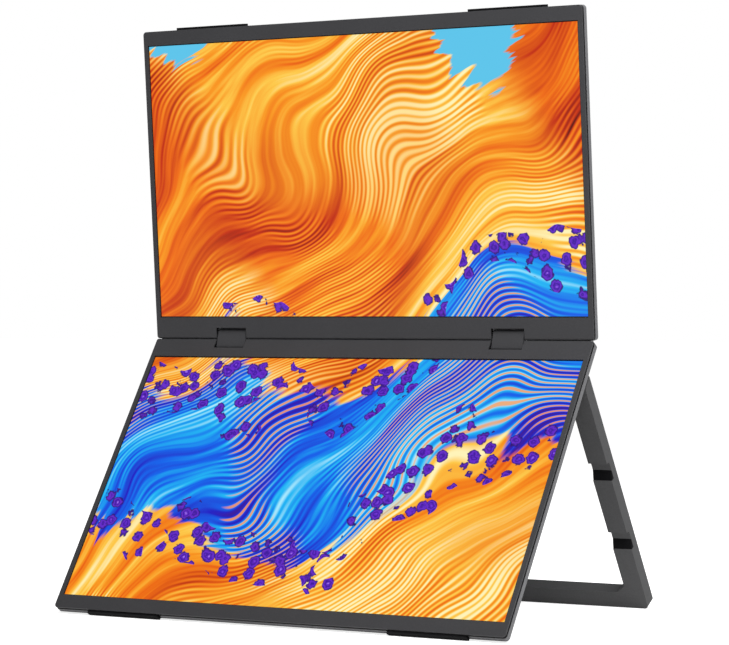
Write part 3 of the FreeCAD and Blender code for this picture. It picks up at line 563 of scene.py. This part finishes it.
class ScrewSettings(bpy.types.PropertyGroup):
    head_radius: length_setting("Head radius", "Radius of a bracket screw's head", 1.8)
    head_height: length_setting("Head height", "Height of the head, sunk in the bracket", 0.7)
    head_edge: length_setting("Head edge", "Bevel round the head", 0.12)
    shank_radius: length_setting("Shank radius", "Radius of the screw's shank", 1.0)
    cross_reach: length_setting("Cross reach", "Length of an arm of the cross", 1.15)
    cross_half: length_setting("Cross half width", "Half the width of an arm", 0.36)
    cross_slope: length_setting("Cross slope", "Width of the cross's sloping sides", 0.14)
    cross_depth: length_setting("Cross depth", "Depth of the cross", 0.5)


# Sizes of the black sheets of painted shade in the slit between the displays.
class FoldShadeSettings(bpy.types.PropertyGroup):
    film: length_setting("Fold shade thickness", "Thickness of the film between the displays", 0.06)
    front: length_setting("Fold shade front", "How far the film reaches forwards of the axles", 1.0)
    rear: length_setting("Fold shade rear", "How far the film reaches back from the axles", 3.6)
    setback: length_setting("Fold shade setback", "Distance of the film's ends from the displays' sides", 3.2)
    play: length_setting("Fold shade play", "Air between a film's end and the hinge block", 0.3)


class FinishSettings(bpy.types.PropertyGroup):
    bezel_light: colour_setting("Front plate, light", "Lighter grey of the front plates", "363638")
    bezel_dark: colour_setting("Front plate, dark", "Darker grey of the front plates", "303032")
    shell_light: colour_setting("Shell, light", "Lighter grey of the back shells", "6c6c6e")
    shell_dark: colour_setting("Shell, dark", "Darker grey of the back shells", "646466")
    stand_light: colour_setting("Stand, light", "Lighter grey of the stand", "4a4a4b")
    stand_dark: colour_setting("Stand, dark", "Darker grey of the stand", "434344")
    grain: length_setting(
        "Moulded grain", "Width of the mould's grain, drawn about three times as coarse as it is", 0.9,
    )
    grain_depth: length_setting("Grain depth", "Depth of the mould's grain", 0.03)


class StageSettings(bpy.types.PropertyGroup):
    camera_place: FloatVectorProperty(
        name="Camera place", description="Where the camera stands",
        default=(1.03023, -1.65954, 0.23627), size=3, subtype="TRANSLATION", unit="LENGTH",
    )
    yaw: FloatProperty(
        name="Camera yaw", description="Turn of the view from straight back, positive to the right",
        default=math.radians(-31.554), subtype="ANGLE", unit="ROTATION",
    )
    pitch: FloatProperty(
        name="Camera pitch", description="Rise of the view",
        default=math.radians(-1.138), subtype="ANGLE", unit="ROTATION",
    )
    roll: FloatProperty(
        name="Camera roll", description="Roll of the view",
        default=math.radians(-0.614), subtype="ANGLE", unit="ROTATION",
    )
    lens: FloatProperty(
        name="Lens", description="Focal length on a sensor 36 mm wide",
        default=141.011, unit="CAMERA",
    )
    floor_width: FloatProperty(
        name="Floor width", description="Side of the square floor",
        default=12.0, subtype="DISTANCE", unit="LENGTH",
    )
    floor_colour: colour_setting("Floor colour", "Colour of the floor", "f4f4f4")
    fill: FloatProperty(
        name="Fill light", description="Strength of the even light from all round",
        default=0.34,
    )
    glow: FloatProperty(
        name="Floor glow", description="How much the floor glows to the camera and in reflections",
        default=0.72,
    )
    key_lamp: FloatProperty(
        name="Key lamp", description="Power of the soft lamp above on the right",
        default=22.0, unit="POWER",
    )
    lamp_size: length_setting("Lamp size", "Side of the square lamp", 800.0)
    lamp_place: FloatVectorProperty(
        name="Lamp place", description="Where the lamp hangs",
        default=(0.6, -0.5, 1.1), size=3, subtype="TRANSLATION", unit="LENGTH",
    )
    lamp_aim: FloatVectorProperty(
        name="Lamp aim", description="The point that the lamp faces",
        default=(0.0, 0.0, 0.2), size=3, subtype="TRANSLATION", unit="LENGTH",
    )


# Operators

class DISPLAY_OT_housings(bpy.types.Operator):
    """Moulded finishes of the front plates, frames, shells and buttons"""

    bl_idname = "display.housings"
    bl_label = "Finish housings"

    def execute(self, context):
        look = context.scene.display_finish
        grain, depth = look.grain, look.grain_depth
        # Charcoal PC-ABS with a fine spark texture: soft, even sheen and no sharp reflection.
        paint_slot("bezel", moulded_plastic(
            "charcoal_pc_abs_fine", look.bezel_light, look.bezel_dark,
            grain=grain, roughness=0.5, depth=depth,
        ))
        # The same plastic in grey with a coarser texture, so the shells look a little paler and duller.
        paint_slot("shell", moulded_plastic(
            "grey_pc_abs_textured", look.shell_light, look.shell_dark,
            grain=1.3 * grain, roughness=0.56, depth=1.5 * depth,
        ))
        # Black glass-filled nylon: the frame shows as a dark line between the two mouldings.
        paint_slot("band", moulded_plastic(
            "black_nylon_frame", linear("060607"), linear("030304"),
            grain=grain, roughness=0.7, depth=depth, sheen=0.06,
        ))
        # Buttons are polished a little by fingers.
        paint_slot("button", moulded_plastic(
            "charcoal_pc_abs_satin", linear("3a3a3c"), linear("323234"),
            grain=0.7 * grain, roughness=0.38, depth=0.5 * depth,
        ))
        return {"FINISHED"}


class DISPLAY_OT_electronics(bpy.types.Operator):
    """Glass, tray, boards, sockets, cable and speakers"""

    bl_idname = "display.electronics"
    bl_label = "Finish electronics"

    def execute(self, context):
        paint_slot("screen", anti_glare_glass("etched_display_glass"))
        # Deep-drawn aluminium, satin from rolling.
        paint_slot("tray", drawn_metal(
            "rolled_aluminium_tray", "c4c6c8", roughness=0.42, streak=0.8 * MM, run=30 * MM,
        ))
        paint_slot("board", solder_mask_board("green_solder_mask"))
        # Nickel plating is bright, with a slightly warm grey.
        paint_slot("socket", drawn_metal(
            "nickel_plated_steel", "b9b6b0", roughness=0.28, streak=0.6 * MM, run=8 * MM,
        ))
        # Tinned steel is cooler and duller.
        paint_slot("switch", drawn_metal(
            "tinned_steel_switch", "a9abad", roughness=0.36, streak=0.6 * MM, run=6 * MM,
        ))
        paint_slot("ribbon", conductor_film("polyimide_ribbon"))
        # Plain black ABS, as such boxes are: dull, with an even grain.
        paint_slot("speaker", moulded_plastic(
            "black_abs_speaker_box", linear("232325"), linear("1b1b1d"),
            grain=0.8 * MM, roughness=0.55, depth=0.03 * MM,
        ))
        return {"FINISHED"}


class DISPLAY_OT_hinges(bpy.types.Operator):
    """Hinge covers, and the steel of axles, leaves, clips and screws"""

    bl_idname = "display.hinges"
    bl_label = "Finish hinges"

    def execute(self, context):
        look = context.scene.display_finish
        # Covers in the front plates' plastic, a shade darker from their smoother mould.
        paint_slot("hinge", moulded_plastic(
            "charcoal_pc_abs_cover", linear("39393b"), linear("343436"),
            grain=0.8 * look.grain, roughness=0.46, depth=look.grain_depth,
        ))
        # Ground axle steel: cool grey with fine turning streaks.
        paint_slot("steel", drawn_metal(
            "ground_axle_steel", "9a9da1", roughness=0.3, streak=0.5 * MM, run=12 * MM,
        ))
        return {"FINISHED"}


class DISPLAY_OT_fold_shade(bpy.types.Operator):
    """Black films on the hinge blocks in the slit between the two displays: painted shade, so that the fold
    reads as a dark line
    """

    bl_idname = "display.seals"
    bl_label = "Paint shade in the fold"

    def execute(self, context):
        look = context.scene.display_seal
        # Matt black sheet of painted shade: it takes the light out of the slit, so the fold reads as a dark
        # line.
        material = moulded_plastic(
            "matt_black_painted_fold_shade", linear("0b0b0c"), linear("060607"),
            grain=0.6 * MM, roughness=0.8, depth=0.01 * MM, sheen=0.05,
        )
        lower, upper = (np.mean(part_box(side + "_hinge_axles"), 0) for side in ("lower", "upper"))
        middle = (lower + upper) / 2
        rise = (upper - lower) / np.linalg.norm(upper - lower)
        back = np.array([0, rise[2], -rise[1]])
        block = np.array(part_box("hinge_right_front_cover"))[:, 0]
        end = np.array(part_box("upper_back_shell"))[1, 0] - look.setback
        spans = {
            "left": (-end, -block[1] - look.play),
            "middle": (-block[0] + look.play, block[0] - look.play),
            "right": (block[1] + look.play, end),
        }
        for name, (x0, x1) in spans.items():

            def place(u, v, side):
                """Flat, midway between the axles: u runs right, v back, and side through the film."""
                x = x0 + u * (x1 - x0)
                depth = -look.front + v * (look.front + look.rear)
                level = (side - 0.5) * look.film
                along = np.stack([x, 0 * x, 0 * x], 1)
                return along + middle * (0, 1, 1) + depth[:, None] * back + level * rise

            # Each span is a black sheet of painted shade in the slit.
            mesh = sheet_mesh(
                name + "_painted_fold_shade", across=24, up=3, place=place, uv_place=lambda u, v: (u, v),
            )
            add_piece(name + "_painted_fold_shade", mesh, "hinge_blocks", material)
        return {"FINISHED"}


class DISPLAY_OT_stand(bpy.types.Operator):
    """Frame stand and the rubber strips that the part rests on"""

    bl_idname = "display.stand"
    bl_label = "Finish stand"

    def execute(self, context):
        look = context.scene.display_finish
        # Glass-filled nylon: dull, with short pale fibres just under the skin.
        paint_slot("stand", moulded_plastic(
            "glass_filled_nylon", look.stand_light, look.stand_dark,
            grain=1.2 * look.grain, roughness=0.58, depth=1.4 * look.grain_depth,
        ))
        paint_slot("rubber", soft_rubber("black_soft_rubber"))
        return {"FINISHED"}


class DISPLAY_OT_screws(bpy.types.Operator):
    """Cross-head screws of the stand's brackets"""

    bl_idname = "display.screws"
    bl_label = "Fit bracket screws"

    def execute(self, context):
        # Zinc-plated steel: a little brighter and bluer than the axles.
        material = drawn_metal(
            "zinc_plated_screw_steel", "aeb3b8", roughness=0.36, streak=0.3 * MM, run=1.2 * MM,
        )
        middle, right, top, front = glass_axes("lower_lcd_glass")
        axes = np.array([right, top, -front])
        corners = np.array([v.co for v in frame["nodes"]["bracket_screws"].data.vertices], float) @ axes.T
        heads = []
        for beyond in (corners[:, 0] < 0, corners[:, 0] > 0):
            row = corners[beyond]
            split = (row[:, 1].min() + row[:, 1].max()) / 2
            for screw in (row[row[:, 1] < split], row[row[:, 1] > split]):
                low, high = screw.min(0), screw.max(0)
                heads.append(np.array([*(low + high)[:2] / 2, high[2]]) @ axes)
                length = high[2] - low[2]
        mesh = screw_mesh(
            "bracket_screw_crosses", heads, length, right, top, -front, context.scene.display_screw,
        )
        screws = add_piece("bracket_screw_crosses", mesh, "lower_display", material)
        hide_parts("bracket_screws")
        return {"FINISHED"}


class DISPLAY_OT_pictures(bpy.types.Operator):
    """Front film of both screens, with the lit picture"""

    bl_idname = "display.pictures"
    bl_label = "Light the screens"

    def execute(self, context):
        look = context.scene.display_picture
        material = lit_picture("lit_screen_film", look)
        share = look.height / look.width
        for label, base, sign in (("upper", 0.0, 1), ("lower", -share, -1)):
            middle, right, top, front = glass_axes(label + "_lcd_glass")
            middle = middle + top * sign * (look.hinge_side - look.far_side) / 2

            def place(u, v, side):
                """Flat: u runs right and v up over the picture, and side from the film's back to front."""
                x = (u - 0.5) * look.width
                z = (v - 0.5) * look.height
                d = look.film_gap + side * look.film
                return middle + x[:, None] * right + z[:, None] * top + d * front

            mesh = sheet_mesh(
                label + "_screen_film", across=48, up=27, place=place,
                uv_place=lambda u, v: (u, base + v * share),
            )
            add_piece(label + "_screen_film", mesh, label + "_display", material)
        return {"FINISHED"}


class DISPLAY_OT_stage(bpy.types.Operator):
    """White floor, soft lamps and the camera at the photograph's angle"""

    bl_idname = "display.stage"
    bl_label = "Set the stage"

    def execute(self, context):
        stage = context.scene.display_stage
        scene = context.scene
        scene.view_settings.view_transform = "Standard"

        # A sheet of white card. To the camera and in reflections it glows, so that it reads as white.
        half = stage.floor_width / 2
        mesh = bpy.data.meshes.new("floor")
        corners = [(-half, -half, 0), (half, -half, 0), (half, half, 0), (-half, half, 0)]
        mesh.from_pydata(corners, [], [(0, 1, 2, 3)])
        floor = bpy.data.objects.new("floor", mesh)
        scene.collection.objects.link(floor)
        material, tree = new_material("white_card")
        rays = add_node(tree, "LightPath")
        seen = add_node(
            tree, "Math",
            {0: rays.outputs["Is Camera Ray"], 1: rays.outputs["Is Glossy Ray"]}, operation="MAXIMUM",
        )
        seen = add_node(
            tree, "Math", {0: seen.outputs[0], 1: rays.outputs["Is Transmission Ray"]}, operation="MAXIMUM",
        )
        card = add_node(tree, "BsdfDiffuse", {"Color": stage.floor_colour})
        glow_power = add_node(tree, "Math", {0: seen.outputs[0], 1: stage.glow}, operation="MULTIPLY")
        glow = add_node(tree, "Emission", {"Color": linear("ffffff"), "Strength": glow_power.outputs[0]})
        both = add_node(tree, "AddShader", {0: card.outputs[0], 1: glow.outputs[0]})
        finish_surface(tree, both)
        mesh.materials.append(material)

        # The world lights evenly, and is white to the camera and in reflections.
        world = bpy.data.worlds.new("studio")
        scene.world = world
        world.use_nodes = True
        tree = world.node_tree
        tree.nodes.clear()
        rays = add_node(tree, "LightPath")
        seen = add_node(
            tree, "Math",
            {0: rays.outputs["Is Camera Ray"], 1: rays.outputs["Is Transmission Ray"]}, operation="MAXIMUM",
        )
        strength = add_node(
            tree, "MapRange", {"Value": seen.outputs[0], "To Min": stage.fill, "To Max": 1.0},
        )
        back = add_node(tree, "Background", {"Color": linear("ffffff"), "Strength": strength.outputs[0]})
        add_node(tree, "OutputWorld", {"Surface": back.outputs[0]})

        lamp = bpy.data.lights.new("key_lamp", "AREA")
        lamp.shape = "SQUARE"
        lamp.size = stage.lamp_size
        lamp.energy = stage.key_lamp
        holder = bpy.data.objects.new("key_lamp", lamp)
        place = Vector(stage.lamp_place)
        aim = Vector(stage.lamp_aim) - place
        holder.matrix_world = Matrix.Translation(place) @ aim.to_track_quat("-Z", "Y").to_matrix().to_4x4()
        scene.collection.objects.link(holder)

        # The camera's axes, from its yaw and pitch, and then turned by its roll.
        level = math.cos(stage.pitch)
        forward = Vector((math.sin(stage.yaw) * level, math.cos(stage.yaw) * level, math.sin(stage.pitch)))
        right = Vector((math.cos(stage.yaw), -math.sin(stage.yaw), 0))
        up = right.cross(forward)
        x_axis = math.cos(stage.roll) * right + math.sin(stage.roll) * up
        y_axis = math.cos(stage.roll) * up - math.sin(stage.roll) * right
        camera = bpy.data.cameras.new("camera")
        camera.lens = stage.lens
        camera.sensor_width = SENSOR_WIDTH
        camera.sensor_fit = "HORIZONTAL"
        camera.clip_end = SIGHT
        holder = bpy.data.objects.new("camera", camera)
        turn = Matrix((x_axis, y_axis, -forward)).transposed().to_4x4()
        holder.matrix_world = Matrix.Translation(stage.camera_place) @ turn
        scene.collection.objects.link(holder)
        scene.camera = holder
        return {"FINISHED"}


class DISPLAY_PT_panel(bpy.types.Panel):
    """Steps and settings of the folding display"""

    bl_label = "Folding double display"
    bl_idname = "DISPLAY_PT_panel"
    bl_space_type = "VIEW_3D"
    bl_region_type = "UI"
    bl_category = "Display"

    def draw(self, context):
        layout = self.layout
        for operator in OPERATORS:
            layout.operator(operator.bl_idname)
        for name in GROUPS:
            box = layout.box()
            settings = getattr(context.scene, name)
            for key in settings.bl_rna.properties.keys():
                if key not in ("rna_type", "name"):
                    box.prop(settings, key)


OPERATORS = (
    DISPLAY_OT_housings,
    DISPLAY_OT_electronics,
    DISPLAY_OT_hinges,
    DISPLAY_OT_fold_shade,
    DISPLAY_OT_stand,
    DISPLAY_OT_screws,
    DISPLAY_OT_pictures,
    DISPLAY_OT_stage,
)
GROUPS = {
    "display_picture": PictureSettings,
    "display_seal": FoldShadeSettings,
    "display_screw": ScrewSettings,
    "display_finish": FinishSettings,
    "display_stage": StageSettings,
}


def register():
    for group in GROUPS.values():
        bpy.utils.register_class(group)
    for name, group in GROUPS.items():
        setattr(bpy.types.Scene, name, PointerProperty(type=group))
    for operator in OPERATORS:
        bpy.utils.register_class(operator)
    bpy.utils.register_class(DISPLAY_PT_panel)


def unregister():
    bpy.utils.unregister_class(DISPLAY_PT_panel)
    for operator in reversed(OPERATORS):
        bpy.utils.unregister_class(operator)
    for name, group in reversed(GROUPS.items()):
        delattr(bpy.types.Scene, name)
        bpy.utils.unregister_class(group)


def main():
    """Builds the looks step by step."""
    register()
    bpy.ops.display.housings()
    bpy.ops.display.electronics()
    bpy.ops.display.hinges()
    # Black sheets of painted shade in the slit at the fold.
    bpy.ops.display.seals()
    bpy.ops.display.stand()
    bpy.ops.display.screws()
    bpy.ops.display.pictures()
    bpy.ops.display.stage()


if __name__ == "__main__":
    main()
